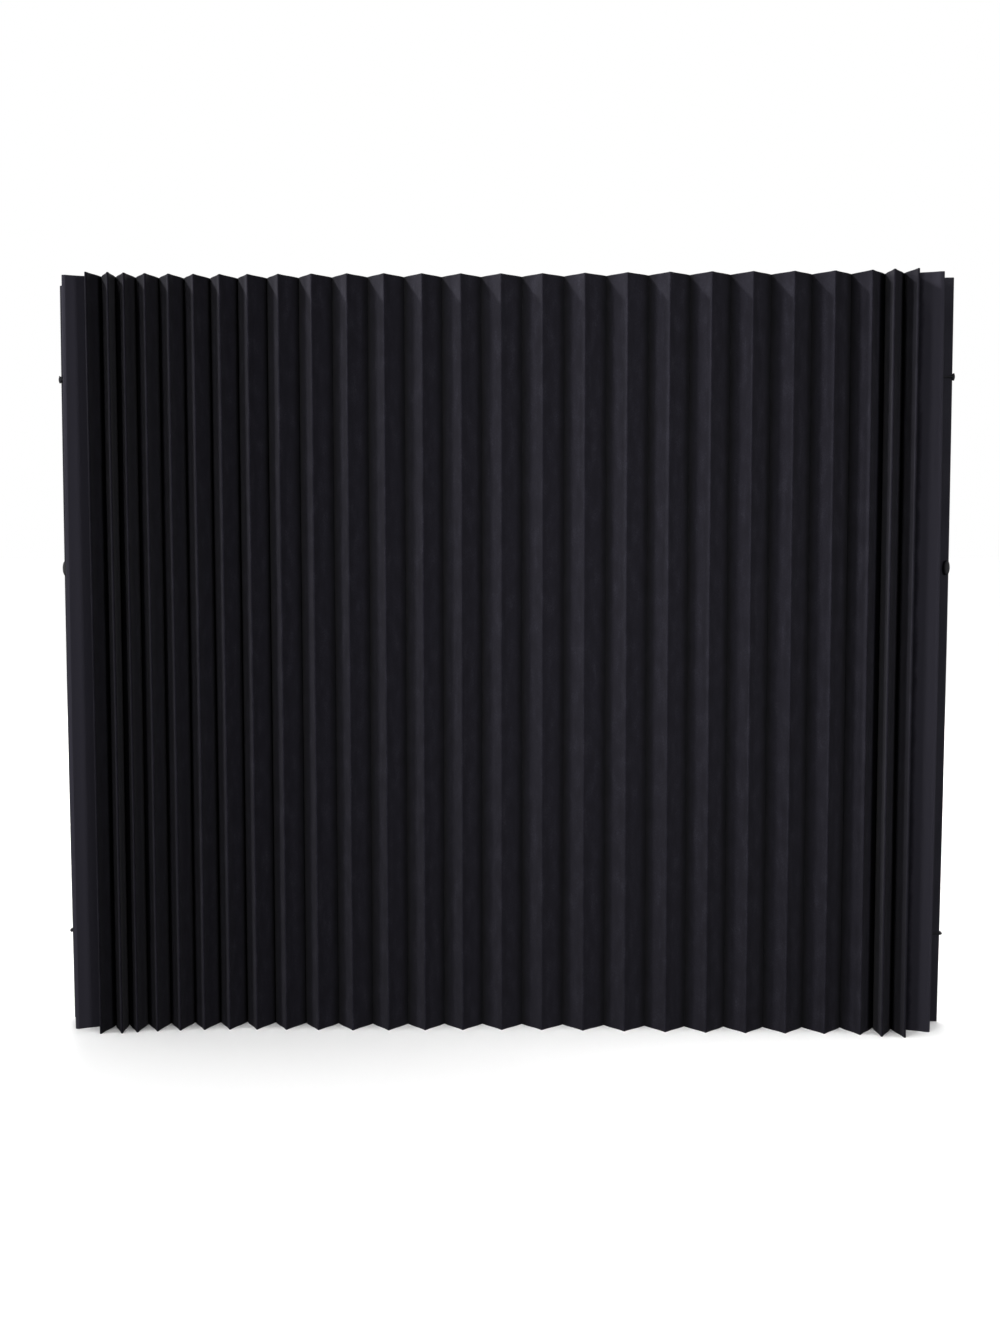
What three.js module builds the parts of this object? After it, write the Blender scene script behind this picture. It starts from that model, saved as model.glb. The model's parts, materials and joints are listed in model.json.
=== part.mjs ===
// Folding microphone isolation shield: one tall pleated sheet between two end rails.
// It stands open on its lower edges. Millimetres, +Z up, the front is towards -Y.

import * as THREE from 'three';
import { mergeVertices } from 'three/addons/utils/BufferGeometryUtils.js';

// ---- driving dimensions --------------------------------------------------

const SHEET_HEIGHT = 540;
const FACE_WIDTH = 20;          // from one crease axis to the next
const SHEET_THICKNESS = 0.8;
const PLEAT_COUNT = 27;         // a pleat is one face going back and one coming forward
const CREASE_RELIEF = 0.1;      // from a crease axis to the skins of the faces beside it
const FACE_END_GAP = 0.15;      // what each face stops short of its crease axes

// How far the faces lean back from the line of the wall, in degrees, at even steps
// from the left end to the right. The pleats stand tight at both ends.
const LEAN = [84, 68, 62, 52, 47, 42, 44, 49, 84];
// What a back-going face leans more than its partner, which curves the wall a little.
const SWAY = [18, 6, -2, 1, -4, -2, -17];
// The first and the last faces are pulled their own way by the rails: in degrees from
// +X, plus going back and minus coming forward.
const END_FACES = { left: [23, -93, 72], right: [-84, 58, -75, 90, -20] };

const RAIL_THICKNESS = 2;
const RAIL_DEPTH = 28;          // from the end crease to the rail's back
const RAIL_REACH = 13.5;        // from the end crease to the flange's outer edge
const RAIL_YAW = -6;            // both rails turn this much about Z, in degrees
const RAIL_TOP_DROP = { left: 3, right: 0 };

const CORD_DIAMETER = 1.6;
const CORD_HEIGHTS = { upper: 470, lower: 66 };
const CORD_TURN_RADIUS = 3;     // where it turns down the flange's back
const CORD_SIDES = 8;
const CORD_POINTS_IN_BEND = 6;
const CORD_STEPS_PER_POINT = 2;

const BUTTON_HEIGHT = 334;      // the button's centre above the floor
const BUTTON_LENGTH = 11;
const BUTTON_WIDTH = 4.4;
const BUTTON_THICKNESS = 2.4;
const BUTTON_EDGE_ROUND = 0.6;
const BUTTON_OVERHANG = 0.5;    // past the flange's outer edge

const TOUCHING_GAP = 0.3;       // between pieces that rest on each other

// ---- materials -----------------------------------------------------------

const finishes = {
  pleatedSheet: { color: 0x1b1a20, roughness: 0.95, metalness: 0 },
  railCovering: { color: 0x19181d, roughness: 0.93, metalness: 0 },
  elasticCord: { color: 0x101014, roughness: 0.8, metalness: 0 },
  cordButton: { color: 0x2a2a33, roughness: 0.6, metalness: 0 },
};

function material(finish) {
  return new THREE.MeshStandardMaterial(finishes[finish]);
}

function namedMesh(name, geometry, finish) {
  const mesh = new THREE.Mesh(weld(geometry), material(finish));
  mesh.name = name;
  return mesh;
}

// Only positions stay, so that vertices in one place are one vertex.
function weld(geometry) {
  const bare = geometry.clone();
  bare.deleteAttribute('normal');
  bare.deleteAttribute('uv');
  return mergeVertices(bare, 1e-4);
}

// ---- the lie of the pleats -----------------------------------------------

const radians = THREE.MathUtils.degToRad;

// A smooth value at share t of the way through evenly spaced ones (Catmull-Rom).
function along(values, t) {
  const last = values.length - 1;
  const place = THREE.MathUtils.clamp(t, 0, 1) * last;
  const start = Math.min(Math.floor(place), last - 1);
  const [a, b, c, d] = [-1, 0, 1, 2].map(
    (step) => values[THREE.MathUtils.clamp(start + step, 0, last)],
  );
  const x = place - start;
  return b + (x / 2) * (c - a + x * (2 * a - 5 * b + 4 * c - d + x * (3 * (b - c) + d - a)));
}

// Each face's direction in plan, in degrees from +X: plus going back to a valley,
// minus coming forward to a crest.
function faceDirections() {
  const directions = [];
  for (let pleat = 0; pleat < PLEAT_COUNT; pleat++) {
    const share = pleat / (PLEAT_COUNT - 1);
    const lean = along(LEAN, share);
    const sway = along(SWAY, share);
    directions.push(lean + sway, sway - lean);
  }
  const { left, right } = END_FACES;
  return [...left, ...directions.slice(left.length, -right.length), ...right];
}

// ---- pieces --------------------------------------------------------------

// One face of the sheet, about the middle of the line between its two crease axes.
// A crease axis lies on the side where its two faces meet when the sheet is folded:
// behind them at a crest, before them at a valley. So the face is turned a little
// off that line, and folded faces lie flat on each other.
function pleatPanel(number, goesBack) {
  const acrossAxes = SHEET_THICKNESS + 2 * CREASE_RELIEF;
  const betweenFeet = Math.sqrt(FACE_WIDTH ** 2 - acrossAxes ** 2);
  const turn = Math.asin(acrossAxes / FACE_WIDTH);
  const panel = namedMesh(
    `pleat_panel_${String(number).padStart(2, '0')}`,
    new THREE.BoxGeometry(betweenFeet - 2 * FACE_END_GAP, SHEET_THICKNESS, SHEET_HEIGHT),
    'pleatedSheet',
  );
  panel.position.set(FACE_WIDTH / 2, 0, SHEET_HEIGHT / 2);
  panel.rotation.z = goesBack ? turn : -turn;
  return panel;
}

// An angle section: a leg that runs back from the end crease and a flange that turns
// outwards at its back. side is -1 on the left and 1 on the right.
function endRail(name, side, topDrop) {
  const inner = CREASE_RELIEF;
  const outer = inner + RAIL_THICKNESS;
  const front = RAIL_DEPTH - RAIL_THICKNESS;
  const bend = RAIL_THICKNESS;
  const outline = new THREE.Shape();
  outline.moveTo(side * inner, FACE_END_GAP);
  outline.lineTo(side * outer, FACE_END_GAP);
  outline.lineTo(side * outer, front);
  outline.lineTo(side * RAIL_REACH, front);
  outline.lineTo(side * RAIL_REACH, RAIL_DEPTH);
  outline.lineTo(side * (inner + bend), RAIL_DEPTH);
  outline.quadraticCurveTo(side * inner, RAIL_DEPTH, side * inner, RAIL_DEPTH - bend);
  outline.closePath();
  const geometry = new THREE.ExtrudeGeometry(outline, {
    depth: SHEET_HEIGHT - topDrop,
    bevelEnabled: false,
    curveSegments: 6,
  });
  return namedMesh(name, geometry, 'railCovering');
}

// Places on an arc about the origin, from one angle to another.
function arc(radius, from, to) {
  return Array.from({ length: CORD_POINTS_IN_BEND + 1 }, (_, point) => {
    const angle = from + ((to - from) * point) / CORD_POINTS_IN_BEND;
    return [radius * Math.cos(angle), radius * Math.sin(angle)];
  });
}

// An elastic cord that crosses the flange's front at two heights, goes round its outer
// edge at each in a half circle, and runs down its back between them.
function closureCord(name, side) {
  const off = TOUCHING_GAP + CORD_DIAMETER / 2;
  const bend = RAIL_THICKNESS / 2 + off;
  const flangeMiddle = RAIL_DEPTH - RAIL_THICKNESS / 2;
  const back = flangeMiddle + bend;
  const startsAt = CREASE_RELIEF + RAIL_THICKNESS + off;
  const runsAt = RAIL_REACH / 2;
  const turn = CORD_TURN_RADIUS;
  const roundEdge = arc(bend, -Math.PI / 2, Math.PI / 2);
  const turnAway = arc(turn, Math.PI / 2, Math.PI);
  const crossing = (height, way) => [
    [startsAt, flangeMiddle - bend, height],
    ...roundEdge.map(([x, y]) => [RAIL_REACH + x, flangeMiddle + y, height]),
    ...turnAway.map(([x, z]) => [runsAt + turn + x, back, height + way * (turn - z)]),
  ];
  const middle = (CORD_HEIGHTS.upper + CORD_HEIGHTS.lower) / 2;
  const route = [
    ...crossing(CORD_HEIGHTS.upper, -1),
    [runsAt, back, middle],
    ...crossing(CORD_HEIGHTS.lower, 1).reverse(),
  ].map(([x, y, z]) => new THREE.Vector3(side * x, y, z));
  const path = new THREE.CatmullRomCurve3(route, false, 'centripetal');
  // steps go by the route's points, so that they are short in the bends
  path.getUtoTmapping = (share) => share;
  const section = new THREE.Shape();
  section.absarc(0, 0, CORD_DIAMETER / 2, 0, 2 * Math.PI);
  const geometry = new THREE.ExtrudeGeometry(section, {
    steps: CORD_STEPS_PER_POINT * (route.length - 1),
    curveSegments: CORD_SIDES / 2,
    extrudePath: path,
    bevelEnabled: false,
  });
  return namedMesh(name, geometry, 'elasticCord');
}

// An oval button on the flange's front, at its outer edge: the cord hooks over it.
function cordButton(name, side) {
  const flat = BUTTON_EDGE_ROUND;
  const oval = new THREE.Shape();
  oval.absellipse(0, 0, BUTTON_WIDTH / 2 - flat, BUTTON_LENGTH / 2 - flat, 0, 2 * Math.PI);
  const geometry = new THREE.ExtrudeGeometry(oval, {
    depth: BUTTON_THICKNESS - 2 * flat,
    bevelThickness: flat,
    bevelSize: flat,
    bevelSegments: 3,
    curveSegments: 20,
  });
  geometry.rotateX(Math.PI / 2);
  const button = namedMesh(name, geometry, 'cordButton');
  const flangeFront = RAIL_DEPTH - RAIL_THICKNESS;
  button.position.set(
    side * (RAIL_REACH + BUTTON_OVERHANG - BUTTON_WIDTH / 2),
    flangeFront - TOUCHING_GAP - flat,
    BUTTON_HEIGHT,
  );
  return button;
}

function railGroup(label, side) {
  const group = new THREE.Group();
  group.add(endRail(`${label}_end_rail`, side, RAIL_TOP_DROP[label]));
  group.add(closureCord(`${label}_closure_cord`, side));
  group.add(cordButton(`${label}_cord_button`, side));
  return group;
}

// ---- the shield ----------------------------------------------------------

// Each face hangs on the crease axis at the end of the one before it, so a group
// stands at every crease and turns by the fold there.
function buildShield() {
  const shield = new THREE.Group();
  const leftEnd = railGroup('left', -1);
  leftEnd.rotation.z = radians(RAIL_YAW);
  shield.add(leftEnd);

  let carrier = leftEnd;
  let facing = RAIL_YAW;
  let reached = 0;
  const foldOn = (direction, crease) => {
    crease.position.x = reached;
    crease.rotation.z = radians(direction - facing);
    carrier.add(crease);
    [carrier, facing, reached] = [crease, direction, FACE_WIDTH];
  };

  faceDirections().forEach((direction, index) => {
    const crease = new THREE.Group();
    crease.add(pleatPanel(index + 1, index % 2 === 0));
    foldOn(direction, crease);
  });
  foldOn(RAIL_YAW, railGroup('right', 1));
  return shield;
}

// The origin is under the middle of the whole shield.
function standOnOrigin(shield) {
  shield.updateMatrixWorld(true);
  const box = new THREE.Box3().setFromObject(shield, true);
  const middle = box.getCenter(new THREE.Vector3());
  shield.position.set(-middle.x, -middle.y, -box.min.z);
  shield.updateMatrixWorld(true);
  return shield;
}

const group = standOnOrigin(buildShield());

export default group;
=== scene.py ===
"""Folding microphone isolation shield: a pleated sheet between two covered end rails.

Metres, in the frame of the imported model: +Z up, the front towards -Y.
"""

import json
import math

import bpy
from mathutils import Euler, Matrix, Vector, noise


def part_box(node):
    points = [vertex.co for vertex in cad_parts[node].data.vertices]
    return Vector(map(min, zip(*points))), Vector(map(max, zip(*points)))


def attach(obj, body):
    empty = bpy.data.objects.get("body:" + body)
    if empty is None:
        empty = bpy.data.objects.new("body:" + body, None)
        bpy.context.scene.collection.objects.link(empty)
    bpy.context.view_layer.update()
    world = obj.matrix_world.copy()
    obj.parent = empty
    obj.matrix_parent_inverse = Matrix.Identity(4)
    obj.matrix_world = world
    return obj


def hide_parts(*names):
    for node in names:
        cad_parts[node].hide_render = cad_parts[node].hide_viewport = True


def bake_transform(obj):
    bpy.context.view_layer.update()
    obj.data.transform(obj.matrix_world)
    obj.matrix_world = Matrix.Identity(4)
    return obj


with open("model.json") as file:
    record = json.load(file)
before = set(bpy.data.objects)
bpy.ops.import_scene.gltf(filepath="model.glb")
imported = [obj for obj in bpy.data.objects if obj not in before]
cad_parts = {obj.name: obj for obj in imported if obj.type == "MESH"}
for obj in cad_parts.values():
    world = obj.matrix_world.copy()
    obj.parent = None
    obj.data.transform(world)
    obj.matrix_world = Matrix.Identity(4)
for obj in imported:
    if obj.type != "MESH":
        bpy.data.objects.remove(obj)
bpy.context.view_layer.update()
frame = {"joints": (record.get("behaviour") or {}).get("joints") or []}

MM = 0.001

# ---- driving dimensions ----------------------------------------------------

JOINTS = frame["joints"]  # one at each crease, from the left rail to the right one
CREASES = [Vector(joint["pos_m"][:2]) for joint in JOINTS]
FACE_COUNT = len(CREASES) - 1
FACE_WIDTH = (CREASES[1] - CREASES[0]).length
SHEET_LENGTH = FACE_COUNT * FACE_WIDTH
SHEET_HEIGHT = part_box("pleat_panel_01")[1].z

SHEET_THICKNESS = 0.55 * MM
CREASE_RADIUS = 0.5 * MM  # from a crease's axis to the middle of the sheet's thickness
CREASE_BAND = 0.6 * MM  # to each side of an axis, where a fold bends
PINCH = 0.3 * MM  # how far a face bows between its middle and a crease
CUT_EDGE_ROUND = 0.12 * MM
GLUED_FLAP = 13 * MM  # of the sheet's end, along a rail's leg
FLAP_CORNER = 0.8 * MM
FLAP_STEPS = 6

# Painted light and painted shade in the felt's colour: lighter and darker are on the felt's
# scale of shades. Pairs are for the left end and the right one.
# painted light: the front of the two end panels is painted lighter
END_PANEL_PAINTED_LIGHT = (0.70, 0.66)
END_PANEL_LIGHT_FROM = (0.95, 0.68)  # how far from the sheet's end it starts, in face widths
END_PANEL_LIGHT_RISE = 5  # how fast it comes in, per face width
# painted shade over the tightly folded pleats near each end of the sheet
END_SHADE_ZONES = (0.30, 0.12)  # how far in from the sheet's ends they reach
END_ZONE_PAINTED_SHADE = 0.13
# painted shade deep in each valley, and how far it reaches
PAINTED_VALLEY_SHADE = 0.60
PAINTED_VALLEY_SHADE_REACH = 4.2 * MM
LEAST_PAINTED_VALLEY_SHADE = 0.2  # what is left of it at the sheet's ends

WANDER = 0.3 * MM  # how far the pleats stray from ruled lines
WANDER_WAVES = Vector((7, 5))  # per metre along the sheet, and up it
WANDER_FADE = 60 * MM  # from each end rail
WANDER_LAYERS = (0.5, 9.8)  # of the noise, for straying across and back
RAIL_BOW = {-1: 0.9 * MM, 1: 0.9 * MM}  # how far a rail bends outwards at half its height
RAIL_TOE_IN = {-1: -1.5 * MM, 1: 0.1 * MM}  # how far its foot stands inwards
FLANGE_WIDER = {-1: (0.0, 0.8 * MM), 1: (-1.5 * MM, 0.0)}  # at its foot, at its top

RAIL_YAW = math.radians(-6)
RAIL_INNER = 0.1 * MM  # from the end crease's axis to the leg
RAIL_THICKNESS = 2 * MM
RAIL_OUTER = RAIL_INNER + RAIL_THICKNESS
RAIL_FRONT = 0.15 * MM
RAIL_DEPTH = 28 * MM
RAIL_REACH = 13.5 * MM
RAIL_END_ROUND = 0.6 * MM
LEG_CORNER_ROUND = 0.5 * MM
FLANGE_CORNER_ROUND = 0.7 * MM
BACK_CORNER_ROUND = 0.6 * MM
CLOTH_LAP = 0.25 * MM  # how far the covering's lap stands off the flange's back
LAP_START, LAP_END, LAP_FOOT = 1.6 * MM, 4.2 * MM, 4.4 * MM  # out from the end crease
LAP_START_ROUND, LAP_END_ROUND = 0.3 * MM, 0.1 * MM

CORD_RADIUS = 0.8 * MM
CORD_GAP = 0.3 * MM  # between the rail and the cord
CORD_OFF = CORD_GAP + CORD_RADIUS  # from the rail to the cord's middle
CORD_HEIGHTS = (470 * MM, 66 * MM)
CORD_TURN_RADIUS = 3 * MM
CORD_STEP = 0.45 * MM
CORD_SIDES = 16
BRAID_LEAD = 3.2 * MM
BRAID_STRANDS = 4
BRAID_RELIEF = 0.06 * MM

CRIMP_MIDDLE = 15 * MM  # from the cord's end
CRIMP_HALF_LENGTH = 3.2 * MM
CRIMP_HALF_HEIGHTS = (2.8 * MM, 1.3 * MM)  # upper, lower

BUTTON_HALF_WIDTH = 2.2 * MM
BUTTON_HALF_THICKNESS = 1.2 * MM
BUTTON_SECTION_POWER = 0.6  # at 1 its section is an ellipse, and lower is boxier
BUTTON_GROOVE = 0.3 * MM  # how deep the groove round its edge is
GROOVE_PLACE = 0.55  # of the half turn from its front to its back
GROOVE_SPREAD = 0.16  # radians of that turn, to each side

FACE_STEPS = 8  # over half a face
CREASE_STEPS = 8
CORNER_STEPS = 4
BEND_STEPS = 12  # in each bend of the cord
BUTTON_STEPS = 24  # from its front to its back
BUTTON_SIDES = 48
SHEET_ROWS = 30
RAIL_ROWS = 24
SMOOTH_BELOW = math.radians(38)

CAMERA_PLACE = Vector((-3.9, -1133.4, 350.3)) * MM
CAMERA_PITCH = math.radians(4.372)  # below the horizon
CAMERA_ROLL = math.radians(-0.067)
CAMERA_LENS = 42.78  # millimetres, for a 36 mm long side

LAMP_DISTANCE = 2.4
# name, azimuth from the front (minus is left), elevation, where it aims (across, up),
# its cone's angle or None for an open lamp, its width, watts
LAMPS = [
    ("far_left", -70, 8, (0, 0.27), None, 0.5, 9.6),
    ("far_left_spot", -70, 8, (0.08, 0.27), 18, 0.5, 16.0),
    ("left", -35, 8, (0, 0.27), None, 0.5, 5.6),
    ("right", 30, 8, (0, 0.27), None, 0.5, 5.4),
    ("right_spot", 30, 8, (0.02, 0.27), 18, 0.5, 19.0),
    ("overhead_spot", -35, 60, (0.08, 0.27), 14, 0.5, 56.0),
    ("top_left_spot", -70, 35, (0.16, 0.5), 14, 0.5, 48.0),
    ("top_right_spot", 30, 8, (0.02, 0.5), 14, 0.5, 32.0),
    ("low_right_spot", 30, 8, (0.02, 0.05), 13, 0.5, 24.0),
    ("side_left", -91, 42, (0, 0.54), 20, 0.2, 95.0),
    ("back_left", -160, 25, (0, 0.27), None, 0.5, 14.0),
    ("back_right", 165, 20, (0, 0.27), None, 0.5, 10.0),
]

# ---- plan and mesh helpers -------------------------------------------------


def turned(vector, angle):
    c, s = math.cos(angle), math.sin(angle)
    return Vector((vector.x * c - vector.y * s, vector.x * s + vector.y * c))


def left_of(direction):
    return Vector((-direction.y, direction.x)).normalized()


def arc(centre, start, end, steps):
    """Points from start to end, both included, the short way round centre."""
    spoke = start - centre
    sweep = -spoke.angle_signed(end - centre)
    return [centre + turned(spoke, sweep * i / steps) for i in range(steps + 1)]


def distances(line):
    """How far each point is along a line from its first point."""
    found = [0.0]
    for before, after in zip(line, line[1:]):
        found.append(found[-1] + (after - before).length)
    return found


def walls(around, rows):
    """Quads between rings of points that lie one above another and run anticlockwise."""
    faces = []
    for low in range(0, (rows - 1) * around, around):
        for i in range(around):
            j = (i + 1) % around
            faces.append((low + i, low + j, low + around + j, low + around + i))
    return faces


def capped(around, rows):
    """The same, with a face across each end."""
    top = (rows - 1) * around
    ends = [tuple(reversed(range(around))), tuple(range(top, top + around))]
    return walls(around, rows) + ends


def made_mesh(name, points, faces, material, lay):
    """An object with smooth faces and sharp corners. lay holds, for each point, its place
    in the material's pattern, so that the pattern stays put when the piece bends."""
    mesh = bpy.data.meshes.new(name)
    mesh.from_pydata([tuple(p) for p in points], [], faces)
    mesh.polygons.foreach_set("use_smooth", [True] * len(mesh.polygons))
    mesh.set_sharp_from_angle(angle=SMOOTH_BELOW)
    layer = mesh.attributes.new("lay", "FLOAT_VECTOR", "POINT")
    layer.data.foreach_set("vector", [x for p in lay for x in p])
    mesh.materials.append(material)
    obj = bpy.data.objects.new(name, mesh)
    bpy.context.scene.collection.objects.link(obj)
    return obj


def bow(side, height):
    """How far an end rail stands outwards of its line at a height."""
    share = height / SHEET_HEIGHT
    return RAIL_BOW[side] * math.sin(math.pi * share) - RAIL_TOE_IN[side] * (1 - share)


def on_rail(side, out, height):
    """How far out a place on an end rail stands, with the rail's bow and its uneven flange."""
    foot, top = FLANGE_WIDER[side]
    wider = foot + (top - foot) * height / SHEET_HEIGHT
    reach = max(out - RAIL_OUTER, 0) / (RAIL_REACH - RAIL_OUTER)
    return out + bow(side, height) + wider * min(reach, 1)


# ---- the pleated sheet -----------------------------------------------------


class Face:
    """One face of the sheet in plan, from the crease where it starts to the next one.

    It passes in front of a crest's axis and behind a valley's, and is pinched in beside
    both, as a pressed pleat is."""

    def __init__(self, number):
        start, end = CREASES[number - 1], CREASES[number]
        goes_back = number % 2 == 1
        self.sign = 1 if goes_back else -1
        turn = self.sign * math.asin(2 * CREASE_RADIUS / FACE_WIDTH)
        self.along = turned((end - start).normalized(), turn)
        self.width = math.sqrt(FACE_WIDTH**2 - (2 * CREASE_RADIUS) ** 2)
        self.centre = (start + end) / 2

    def at(self, share):
        pinched = self.sign * PINCH * math.sin(2 * math.pi * share)
        straight = self.along * (share - 0.5) * self.width
        return self.centre + straight + left_of(self.along) * pinched

    def second_half(self):
        """Points from its middle up to its end, without the end."""
        return [self.at(0.5 + 0.5 * i / FACE_STEPS) for i in range(FACE_STEPS)]

    def first_half(self):
        """Points after its start up to its middle."""
        return [self.at(0.5 * i / FACE_STEPS) for i in range(1, FACE_STEPS + 1)]


FACES = {number: Face(number) for number in range(1, FACE_COUNT + 1)}


def straying(along, height):
    """How far the sheet strays from its plan, at a distance along it and a height."""
    to_end = min(along, SHEET_LENGTH - along)
    fade = min(max(to_end / WANDER_FADE, 0.0), 1.0)
    where = (along * WANDER_WAVES.x, height * WANDER_WAVES.y)
    across, back = (noise.noise(Vector((*where, layer))) for layer in WANDER_LAYERS)
    near_rail = min(max(1 - to_end / (FACE_WIDTH / 2), 0.0), 1.0)
    side = -1 if along < SHEET_LENGTH / 2 else 1
    drawn = Vector((side * near_rail * bow(side, height), 0))
    return Vector((across, back)) * WANDER * fade + drawn


def sheet_strip(number, line, starts_at, ends_at, material):
    """A closed strip of the sheet that stands along a line in plan, with rounded edges.
    starts_at and ends_at are how far along the sheet its two ends are."""
    last = len(line) - 1
    sides = [
        left_of(line[min(i + 1, last)] - line[max(i - 1, 0)]) for i in range(last + 1)
    ]
    far = distances(line)
    along = [starts_at + (ends_at - starts_at) * d / far[-1] for d in far]
    straight = SHEET_HEIGHT - 2 * CUT_EDGE_ROUND
    rows = [(0.0, CUT_EDGE_ROUND)]
    for row in range(SHEET_ROWS + 1):
        rows.append((CUT_EDGE_ROUND + straight * row / SHEET_ROWS, 0.0))
    rows.append((SHEET_HEIGHT, CUT_EDGE_ROUND))

    there, back = list(range(last + 1)), list(range(last, -1, -1))
    points, lay = [], []
    for height, inset in rows:
        half = SHEET_THICKNESS / 2 - inset
        for side, order in ((-half, there), (half, back)):
            for i in order:
                at = line[i] + sides[i] * side + straying(along[i], height)
                points.append((at.x, at.y, height))
                lay.append((along[i], height, side))
    around = 2 * (last + 1)
    faces = walls(around, len(rows))
    top = (len(rows) - 1) * around
    for i in range(last):
        j = around - 1 - i
        faces.append((i, j, j - 1, i + 1))
        faces.append((top + i, top + i + 1, top + j - 1, top + j))
    strip = made_mesh(f"pleat_fold_{number:02d}", points, faces, material, lay)
    return strip


def bend_at(strip, number, start, end):
    """Bakes the strip's place into its mesh; the crease number and the two places in plan are
    not used.
    """
    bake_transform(strip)


def inner_fold(number, material):
    """The strip from the middle of one face, round a crease, to the middle of the next."""
    before, after, crease = FACES[number], FACES[number + 1], CREASES[number]
    nose = arc(crease, before.at(1), after.at(0), CREASE_STEPS)
    line = before.second_half() + nose + after.first_half()
    starts_at = (number - 0.5) * FACE_WIDTH
    strip = sheet_strip(number, line, starts_at, starts_at + FACE_WIDTH, material)
    band = (after.centre - before.centre).normalized() * CREASE_BAND
    bend_at(strip, number, crease - band, crease + band)
    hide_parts(f"pleat_panel_{number:02d}", f"pleat_panel_{number + 1:02d}")


def rail_place(side):
    """Turns a place on an end rail, outwards and back from its crease, into a plan point."""
    crease = CREASES[0] if side < 0 else CREASES[-1]
    return lambda out, back: crease + turned(Vector((side * out, back)), RAIL_YAW)


def end_fold(side, material):
    """The strip that is glued down a rail's leg, wraps its front edge and joins the sheet."""
    on_left = side < 0
    number = 0 if on_left else FACE_COUNT
    face = FACES[1] if on_left else FACES[FACE_COUNT]
    place = rail_place(side)
    skin = RAIL_OUTER + SHEET_THICKNESS / 2
    corner_back = FLAP_CORNER - CREASE_RADIUS
    flap = [
        place(skin, GLUED_FLAP + (corner_back - GLUED_FLAP) * i / FLAP_STEPS)
        for i in range(FLAP_STEPS)
    ]
    corner = arc(
        place(skin - FLAP_CORNER, corner_back),
        place(skin, corner_back),
        place(skin - FLAP_CORNER, -CREASE_RADIUS),
        CORNER_STEPS,
    )
    meets = face.at(0) if on_left else face.at(1)
    nose = arc(CREASES[number], place(0, -CREASE_RADIUS), meets, CREASE_STEPS)
    line = flap + corner + nose
    glued = distances(line)[-1]
    inwards = place(0, 0), place(-CREASE_BAND, 0)
    if on_left:
        line = line + face.first_half()
        starts_at, ends_at = -glued, FACE_WIDTH / 2
    else:
        line = face.second_half() + line[::-1]
        starts_at, ends_at = SHEET_LENGTH - FACE_WIDTH / 2, SHEET_LENGTH + glued
        inwards = inwards[::-1]
    strip = sheet_strip(number, line, starts_at, ends_at, material)
    bend_at(strip, number, *inwards)
    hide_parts(f"pleat_panel_{1 if on_left else FACE_COUNT:02d}")


# ---- end rails -------------------------------------------------------------


def rounded(corners):
    """An outline through corners given as (out, back, radius), each corner an arc."""
    outline = []
    for i, (out, back, radius) in enumerate(corners):
        here = Vector((out, back))
        before = (Vector(corners[i - 1][:2]) - here).normalized()
        after = (Vector(corners[(i + 1) % len(corners)][:2]) - here).normalized()
        half = before.angle(after) / 2
        reach = radius / math.tan(half)
        centre = here + (before + after).normalized() * radius / math.sin(half)
        outline += arc(centre, here + before * reach, here + after * reach, CORNER_STEPS)
    return outline


def inset(outline, distance):
    """An anticlockwise outline moved inwards."""
    following = outline[1:] + outline[:1]
    return [
        here + left_of(after - before) * distance
        for before, here, after in zip([outline[-1]] + outline, outline, following)
    ]


def rail_board(label, side, material):
    """A thin angle-section board wrapped in cloth, lapped down the flange's back."""
    node = f"{label}_end_rail"
    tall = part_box(node)[1].z
    front, lapped = RAIL_DEPTH - RAIL_THICKNESS, RAIL_DEPTH + CLOTH_LAP
    outline = rounded([
        (RAIL_INNER, RAIL_FRONT, LEG_CORNER_ROUND),
        (RAIL_OUTER, RAIL_FRONT, LEG_CORNER_ROUND),
        (RAIL_OUTER, front, LEG_CORNER_ROUND),
        (RAIL_REACH, front, FLANGE_CORNER_ROUND),
        (RAIL_REACH, RAIL_DEPTH, FLANGE_CORNER_ROUND),
        (LAP_FOOT, RAIL_DEPTH, LAP_END_ROUND),
        (LAP_END, lapped, LAP_END_ROUND),
        (LAP_START, lapped, LAP_START_ROUND),
        (RAIL_INNER, front, BACK_CORNER_ROUND),
    ])
    ends = []
    for step in range(CORNER_STEPS):
        angle = math.pi / 2 * step / CORNER_STEPS
        drop, inward = 1 - math.cos(angle), 1 - math.sin(angle)
        ends.append((RAIL_END_ROUND * drop, RAIL_END_ROUND * inward))
    straight = tall - 2 * RAIL_END_ROUND
    rows = ends + [
        (RAIL_END_ROUND + straight * row / RAIL_ROWS, 0.0) for row in range(RAIL_ROWS + 1)
    ]
    rows += [(tall - height, inward) for height, inward in reversed(ends)]

    place, round_it = rail_place(side), distances(outline)
    points, lay = [], []
    for height, inward in rows:
        ring = inset(outline, inward)
        ring = [place(on_rail(side, at.x, height), at.y) for at in ring]
        ring = [((p.x, p.y, height), (d, height, 0)) for p, d in zip(ring, round_it)]
        for point, pattern in ring if side > 0 else reversed(ring):
            points.append(point)
            lay.append(pattern)
    faces = capped(len(outline), len(rows))
    board = made_mesh(f"{label}_rail_board", points, faces, material, lay)
    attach(board, f"{label}_end")
    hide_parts(node)


# ---- closure cords and buttons ---------------------------------------------


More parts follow.
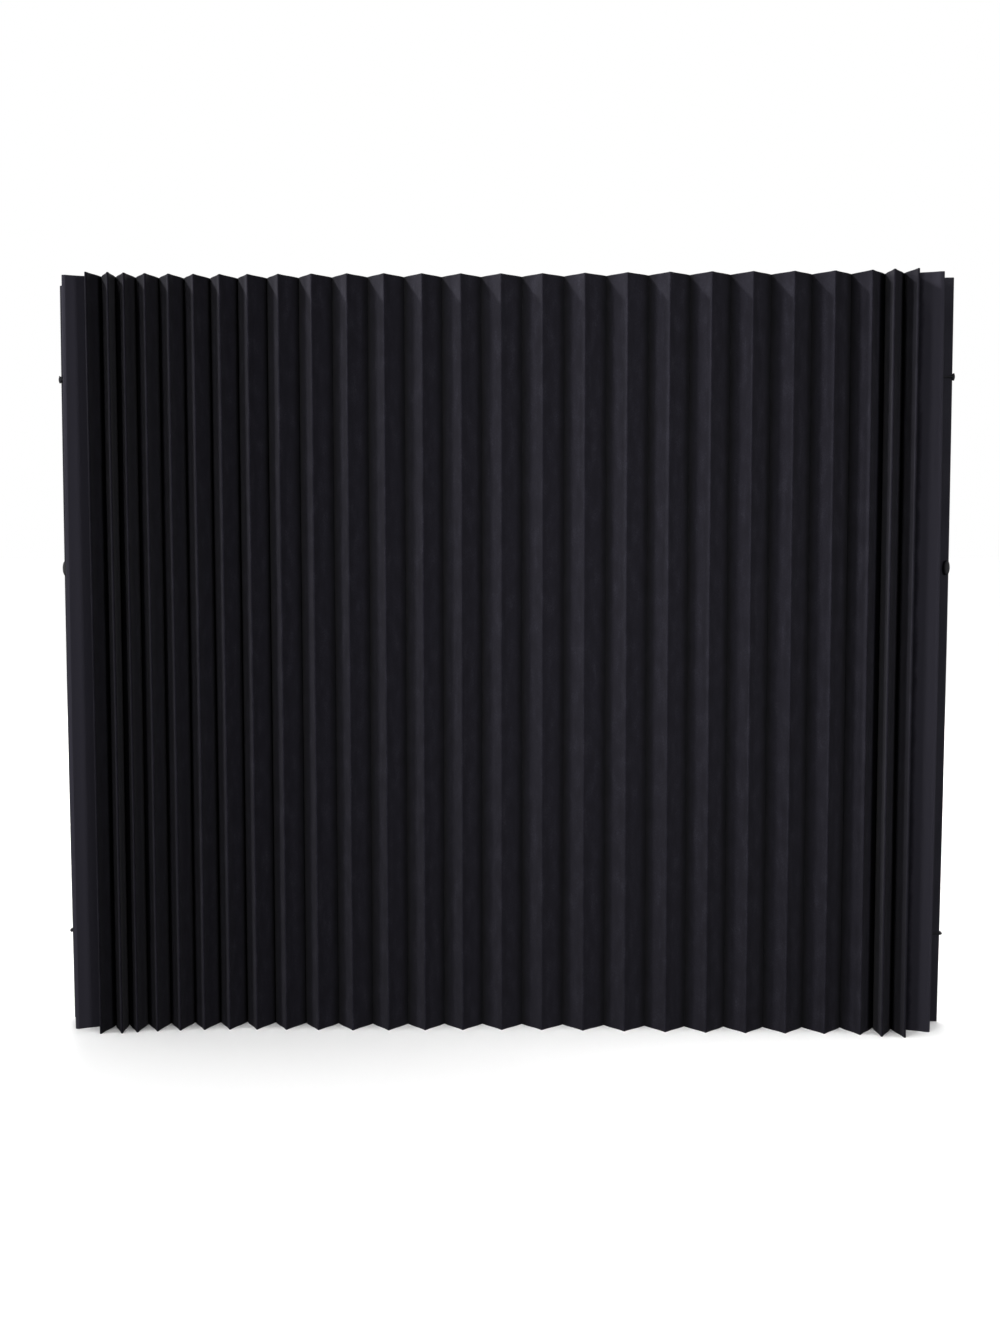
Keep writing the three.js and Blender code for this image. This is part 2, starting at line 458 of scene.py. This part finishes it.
def cord_route(side):
    """The cord's middle: across the flange's front, round its edge and down its back."""
    flange_middle = RAIL_DEPTH - RAIL_THICKNESS / 2
    bend = RAIL_THICKNESS / 2 + CORD_OFF
    back, runs_at, turn = flange_middle + bend, RAIL_REACH / 2, CORD_TURN_RADIUS
    in_leg = RAIL_INNER + RAIL_THICKNESS / 2

    def crossing(height, way):
        found = [(in_leg, flange_middle - bend, height)]
        for step in range(BEND_STEPS + 1):
            angle = math.pi * (step / BEND_STEPS - 0.5)
            out, across = CORD_OFF * math.cos(angle), bend * math.sin(angle)
            found.append((RAIL_REACH + out, flange_middle + across, height))
        for step in range(BEND_STEPS + 1):
            angle = math.pi / 2 * step / BEND_STEPS
            out, down = turn * (1 - math.sin(angle)), turn * (1 - math.cos(angle))
            found.append((runs_at + out, back, height + way * down))
        return found

    upper, lower = CORD_HEIGHTS
    down_back = [
        (runs_at, back, lower + (upper - lower) * (1 - i / RAIL_ROWS))
        for i in range(1, RAIL_ROWS)
    ]
    place = rail_place(side)
    route = []
    for out, across, height in crossing(upper, -1) + down_back + crossing(lower, 1)[::-1]:
        at = place(on_rail(side, out, height), across)
        route.append(Vector((at.x, at.y, height)))
    return route


def evenly(route, step):
    """The same line, with a point every step."""
    along = distances(route)
    result, piece = [], 0
    for i in range(int(along[-1] / step) + 1):
        while along[piece + 1] < i * step:
            piece += 1
        share = (i * step - along[piece]) / (along[piece + 1] - along[piece])
        result.append(route[piece].lerp(route[piece + 1], share))
    return result


def braid_radius(length, angle):
    """The surface of a braided cover: of two ways of winding, the higher one shows."""
    lead = 2 * math.pi * length / BRAID_LEAD
    one = math.cos(BRAID_STRANDS * angle + lead)
    other = math.cos(BRAID_STRANDS * angle - lead)
    return CORD_RADIUS + BRAID_RELIEF * (max(one, other) - 1)


def crimp(from_end, half_height):
    """How much taller the cord is where a flat crimp holds it on the flange's edge."""
    to_edge = abs(from_end - CRIMP_MIDDLE) / CRIMP_HALF_LENGTH
    if to_edge >= 1:
        return 1.0
    return 1 + (half_height / CORD_RADIUS - 1) * math.sqrt(1 - to_edge**2)


def closure_cord(label, side, material):
    """A braided elastic cord, as a closed tube along its route, with a crimp at each end."""
    route = evenly(cord_route(side), CORD_STEP)
    last = len(route) - 1
    full = last * CORD_STEP
    across = (route[1] - route[0]).orthogonal().normalized()
    points, lay = [], []
    for i, at in enumerate(route):
        ahead = (route[min(i + 1, last)] - route[max(i - 1, 0)]).normalized()
        across = (across - ahead * across.dot(ahead)).normalized()
        other = ahead.cross(across)
        along = i * CORD_STEP
        for k in range(CORD_SIDES):
            angle = 2 * math.pi * k / CORD_SIDES
            spoke = across * math.cos(angle) + other * math.sin(angle)
            spoke *= braid_radius(along, angle)
            spoke.z *= crimp(along, CRIMP_HALF_HEIGHTS[0])
            spoke.z *= crimp(full - along, CRIMP_HALF_HEIGHTS[1])
            points.append(at + spoke)
            lay.append((along, angle * CORD_RADIUS, 0))
    faces = capped(CORD_SIDES, len(route))
    cord = made_mesh(f"{label}_elastic", points, faces, material, lay)
    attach(cord, f"{label}_end")
    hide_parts(f"{label}_closure_cord")


def oval_button(label, side, material):
    """A small domed oval button with a groove round its edge for the cord."""
    node = f"{label}_cord_button"
    low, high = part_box(node)
    centre = (low + high) / 2
    half_long, half_wide = (high.z - low.z) / 2, BUTTON_HALF_WIDTH
    bowed = (on_rail(side, RAIL_REACH, centre.z) - RAIL_REACH) * side
    profile = []
    for step in range(1, BUTTON_STEPS):
        angle = math.pi * step / BUTTON_STEPS
        from_groove = (angle - math.pi * GROOVE_PLACE) / GROOVE_SPREAD
        groove = math.exp(-(from_groove**2)) * BUTTON_GROOVE
        reach = math.sin(angle) ** BUTTON_SECTION_POWER - groove / half_wide
        profile.append((reach, -math.cos(angle) * BUTTON_HALF_THICKNESS))
    points, lay = [], []
    for reach, depth in profile:
        for k in range(BUTTON_SIDES):
            turn = 2 * math.pi * k / BUTTON_SIDES
            out = half_wide * reach * math.cos(turn)
            rise = (half_long - half_wide * (1 - reach)) * math.sin(turn)
            at = turned(Vector((out, depth)), RAIL_YAW)
            points.append((centre.x + at.x + bowed, centre.y + at.y, centre.z + rise))
            lay.append((out, rise, depth))
    faces = capped(BUTTON_SIDES, len(profile))
    button = made_mesh(f"{label}_oval_button", points, faces, material, lay)
    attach(button, f"{label}_end")
    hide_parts(node)


# ---- materials -------------------------------------------------------------


class Finish:
    """A node material on the principled shader, patterned by the mesh's lay attribute."""

    def __init__(self, name):
        self.material = bpy.data.materials.new(name)
        self.material.use_nodes = True
        self.nodes = self.material.node_tree.nodes
        self.links = self.material.node_tree.links
        self.shader = self.nodes["Principled BSDF"]
        self.lay = self.nodes.new("ShaderNodeAttribute")
        self.lay.attribute_name = "lay"
        parts = self.nodes.new("ShaderNodeSeparateXYZ")
        self.links.new(self.lay.outputs["Vector"], parts.inputs["Vector"])
        self.along, self.side = parts.outputs["X"], parts.outputs["Z"]

    def set(self, **values):
        for name, value in values.items():
            self.shader.inputs[name.replace("_", " ")].default_value = value

    def noise(self, waves, turn=0.0, detail=2.0):
        """Noise with its own number of waves per metre each way, turned on the surface."""
        mapping = self.nodes.new("ShaderNodeMapping")
        mapping.vector_type = "TEXTURE"
        mapping.inputs["Rotation"].default_value = (0, 0, turn)
        mapping.inputs["Scale"].default_value = [1 / w for w in waves]
        grain = self.nodes.new("ShaderNodeTexNoise")
        grain.inputs["Scale"].default_value = 1.0
        grain.inputs["Detail"].default_value = detail
        self.links.new(self.lay.outputs["Vector"], mapping.inputs["Vector"])
        self.links.new(mapping.outputs["Vector"], grain.inputs["Vector"])
        return grain.outputs["Fac"]

    def combine(self, operation, first, second):
        node = self.nodes.new("ShaderNodeMath")
        node.operation = operation
        for socket, value in zip(node.inputs, (first, second)):
            if isinstance(value, (int, float)):
                socket.default_value = value
            else:
                self.links.new(value, socket)
        return node.outputs["Value"]

    def colour(self, value, *stops):
        """A base colour that goes through the stops, each a place and a colour."""
        node = self.nodes.new("ShaderNodeValToRGB")
        elements = node.color_ramp.elements
        while len(elements) < len(stops):
            elements.new(0.5)
        for element, (place, colour) in zip(elements, stops):
            element.position = place
            element.color = (*colour, 1)
        self.links.new(value, node.inputs["Fac"])
        self.links.new(node.outputs["Color"], self.shader.inputs["Base Color"])

    def roughness(self, value, low, high):
        node = self.nodes.new("ShaderNodeMapRange")
        node.inputs["To Min"].default_value = low
        node.inputs["To Max"].default_value = high
        self.links.new(value, node.inputs["Value"])
        self.links.new(node.outputs["Result"], self.shader.inputs["Roughness"])

    def bump(self, height, strength, distance):
        node = self.nodes.new("ShaderNodeBump")
        node.inputs["Strength"].default_value = strength
        node.inputs["Distance"].default_value = distance
        self.links.new(height, node.inputs["Height"])
        self.links.new(node.outputs["Normal"], self.shader.inputs["Normal"])


def from_ends(finish):
    """How far along the sheet a place is from its left end, and from its right one."""
    return finish.along, finish.combine("SUBTRACT", SHEET_LENGTH, finish.along)


def painted_end_panel_light(finish):
    """Painted light: how much lighter the front of the first and the last face is painted,
    towards the rails.
    """
    light = []
    ends = zip(from_ends(finish), END_PANEL_PAINTED_LIGHT, END_PANEL_LIGHT_FROM)
    for from_end, lighter, begins in ends:
        share = finish.combine("DIVIDE", from_end, FACE_WIDTH)
        inside = finish.combine("SUBTRACT", begins, share)
        ramp = finish.combine("MULTIPLY", finish.combine("MAXIMUM", inside, 0), END_PANEL_LIGHT_RISE)
        light.append(finish.combine("MULTIPLY", finish.combine("MINIMUM", ramp, 1), lighter))
    front = finish.combine("LESS_THAN", finish.side, 0)
    return finish.combine("MULTIPLY", finish.combine("ADD", *light), front)


def painted_end_shade_zones(finish):
    """Where shade is painted near the sheet's ends: one at the ends, falling to nought where
    the end zones finish.
    """
    inside = []
    for from_end, reach in zip(from_ends(finish), END_SHADE_ZONES):
        left_over = finish.combine("SUBTRACT", 1, finish.combine("DIVIDE", from_end, reach))
        inside.append(finish.combine("MAXIMUM", left_over, 0))
    return finish.combine("MINIMUM", finish.combine("ADD", *inside), 1)


def painted_valley_shade_mask(finish):
    """Painted shade in the valleys: near one deep in the fold of a valley, on either side, and
    nought away from it.
    """
    behind = finish.combine("GREATER_THAN", finish.side, 0)
    shift = finish.combine("MULTIPLY", behind, FACE_WIDTH)
    from_crest = finish.combine("ADD", finish.along, shift)
    from_valley = finish.combine("ADD", from_crest, FACE_WIDTH)
    to_valley = finish.combine("PINGPONG", from_valley, FACE_WIDTH)
    share = finish.combine("DIVIDE", to_valley, PAINTED_VALLEY_SHADE_REACH)
    fall = finish.combine("MULTIPLY", finish.combine("MULTIPLY", share, share), -1)
    shade = finish.combine("POWER", math.e, fall)
    in_zones = finish.combine("SUBTRACT", 1, painted_end_shade_zones(finish))
    kept = finish.combine("MAXIMUM", in_zones, LEAST_PAINTED_VALLEY_SHADE)
    return finish.combine("MULTIPLY", shade, kept)


def felt():
    """Near-black pressed felt: short fibres lying every way, faintly mottled, with painted
    shade in the valleys and near the sheet's ends and painted light on the end panels.
    """
    finish = Finish("pressed_felt")
    fibre = (5200, 420, 1)
    fibres = finish.noise(fibre, 0.5)
    for turn in (-0.6, 1.7):
        fibres = finish.combine("MAXIMUM", fibres, finish.noise(fibre, turn))
    mottle = finish.noise((140, 60, 1), 0.0, 4.0)
    shade = finish.combine("MULTIPLY", fibres, finish.combine("ADD", mottle, 0.5))
    # painted shade deep in the valleys
    painted_valley_dark = finish.combine("MULTIPLY", painted_valley_shade_mask(finish), -PAINTED_VALLEY_SHADE)
    # painted light on the end panels and painted shade in the valleys go into the colour
    shade = finish.combine("ADD", shade, finish.combine("ADD", painted_end_panel_light(finish), painted_valley_dark))
    # painted shade over the pleats near the sheet's ends
    painted_end_shade = finish.combine("MULTIPLY", painted_end_shade_zones(finish), -END_ZONE_PAINTED_SHADE)
    shade = finish.combine("ADD", shade, painted_end_shade)
    finish.colour(
        shade,
        (0.00, (0.0070, 0.0064, 0.0102)),
        (0.30, (0.0171, 0.0158, 0.0238)),
        (0.62, (0.0312, 0.0289, 0.0434)),
        (0.95, (0.0880, 0.0835, 0.1130)),
    )
    finish.roughness(fibres, 0.86, 1.0)
    finish.bump(fibres, 0.35, 0.12 * MM)
    finish.set(Specular_IOR_Level=0.15, Sheen_Weight=0.12, Sheen_Roughness=0.6)
    return finish.material


def board_cloth():
    """The finer cloth that covers the end boards."""
    finish = Finish("board_cloth")
    grain = finish.noise((1800, 1800, 1), 0.0, 3.0)
    mottle = finish.noise((60, 25, 1), 0.0, 3.0)
    shade = finish.combine("MULTIPLY", grain, finish.combine("ADD", mottle, 0.5))
    finish.colour(
        shade, (0.30, (0.0530, 0.0510, 0.0680)), (0.70, (0.0950, 0.0915, 0.1200))
    )
    finish.roughness(grain, 0.8, 0.95)
    finish.bump(grain, 0.3, 0.1 * MM)
    finish.set(Specular_IOR_Level=0.2, Sheen_Weight=0.1, Sheen_Roughness=0.6)
    return finish.material


def braided_elastic():
    finish = Finish("braided_elastic")
    strands = finish.noise((900, 3200, 1), 0.6)
    finish.colour(strands, (0.3, (0.052, 0.051, 0.060)), (0.7, (0.092, 0.090, 0.104)))
    finish.roughness(strands, 0.6, 0.85)
    finish.bump(strands, 0.3, 0.05 * MM)
    finish.set(Specular_IOR_Level=0.35)
    return finish.material


def button_plastic():
    finish = Finish("button_plastic")
    grain = finish.noise((900, 900, 900), 0.0, 3.0)
    finish.colour(grain, (0.3, (0.058, 0.057, 0.066)), (0.7, (0.088, 0.086, 0.098)))
    finish.roughness(grain, 0.4, 0.6)
    finish.bump(grain, 0.2, 0.05 * MM)
    finish.set(Specular_IOR_Level=0.5)
    return finish.material


# ---- floor, light and camera -----------------------------------------------


def added(name, data):
    obj = bpy.data.objects.new(name, data)
    bpy.context.scene.collection.objects.link(obj)
    return obj


def studio_floor():
    """A pale floor. It throws no light back at the shield, as in a large studio."""
    finish = Finish("studio_floor")
    grain = finish.noise((3, 3, 1), 0.0, 3.0)
    finish.colour(grain, (0.3, (0.87, 0.87, 0.87)), (0.7, (0.89, 0.89, 0.89)))
    finish.set(Roughness=0.9, Specular_IOR_Level=0.1)
    size = 40.0
    corners = [(-size, -size, 0), (size, -size, 0), (size, size, 0), (-size, size, 0)]
    ground = made_mesh("studio_floor", corners, [(0, 1, 2, 3)], finish.material, corners)
    ground.visible_diffuse = False
    ground.visible_glossy = False

    overhead = bpy.data.lights.new("overhead", "SUN")
    overhead.energy = 3.7
    overhead.angle = math.radians(70)
    only_floor = bpy.data.collections.new("only_floor")
    only_floor.objects.link(ground)
    added("overhead", overhead).light_linking.receiver_collection = only_floor


def lamp(name, azimuth, elevation, aim, cone, width, power):
    """A soft lamp, open or with a cone that fades towards its edge."""
    data = bpy.data.lights.new(name, "SPOT" if cone else "AREA")
    data.energy = power
    if cone:
        data.spot_size = math.radians(cone)
        data.spot_blend = 1
        data.shadow_soft_size = width / 2
    else:
        data.shape = "DISK"
        data.size = width
    a, e = math.radians(azimuth), math.radians(elevation)
    out = Vector((math.sin(a) * math.cos(e), -math.cos(a) * math.cos(e), math.sin(e)))
    place = Vector((0, 0, SHEET_HEIGHT / 2)) + out * LAMP_DISTANCE
    body = added(name, data)
    body.location = place
    to_lamp = place - Vector((aim[0], 0, aim[1]))
    body.rotation_euler = to_lamp.to_track_quat("Z", "Y").to_euler()


def studio():
    """A white backdrop all round, which lights the shield only faintly, and the lamps."""
    world = bpy.data.worlds.new("studio")
    world.use_nodes = True
    nodes, links = world.node_tree.nodes, world.node_tree.links
    faint, backdrop = nodes["Background"], nodes.new("ShaderNodeBackground")
    faint.inputs["Color"].default_value = (1, 1, 1, 1)
    faint.inputs["Strength"].default_value = 0.02
    backdrop.inputs["Color"].default_value = (1, 1, 1, 1)
    seen, mix = nodes.new("ShaderNodeLightPath"), nodes.new("ShaderNodeMixShader")
    links.new(seen.outputs["Is Camera Ray"], mix.inputs["Fac"])
    links.new(faint.outputs["Background"], mix.inputs[1])
    links.new(backdrop.outputs["Background"], mix.inputs[2])
    links.new(mix.outputs["Shader"], nodes["World Output"].inputs["Surface"])
    bpy.context.scene.world = world
    bpy.context.scene.view_settings.view_transform = "Standard"
    for row in LAMPS:
        lamp(*row)


def camera():
    data = bpy.data.cameras.new("camera")
    data.sensor_width = 36
    data.lens = CAMERA_LENS
    eye = added("camera", data)
    eye.location = CAMERA_PLACE
    aim = Euler((math.pi / 2 - CAMERA_PITCH, 0, CAMERA_ROLL), "ZYX")
    eye.rotation_euler = aim.to_matrix().to_euler()
    bpy.context.scene.camera = eye


# ---- the shield ------------------------------------------------------------

camera()
studio()
studio_floor()

sheet_finish, board_finish = felt(), board_cloth()
cord_finish, button_finish = braided_elastic(), button_plastic()

end_fold(-1, sheet_finish)
for crease_number in range(1, FACE_COUNT):
    inner_fold(crease_number, sheet_finish)
end_fold(1, sheet_finish)

for rail_label, rail_side in (("left", -1), ("right", 1)):
    rail_board(rail_label, rail_side, board_finish)
    closure_cord(rail_label, rail_side, cord_finish)
    oval_button(rail_label, rail_side, button_finish)
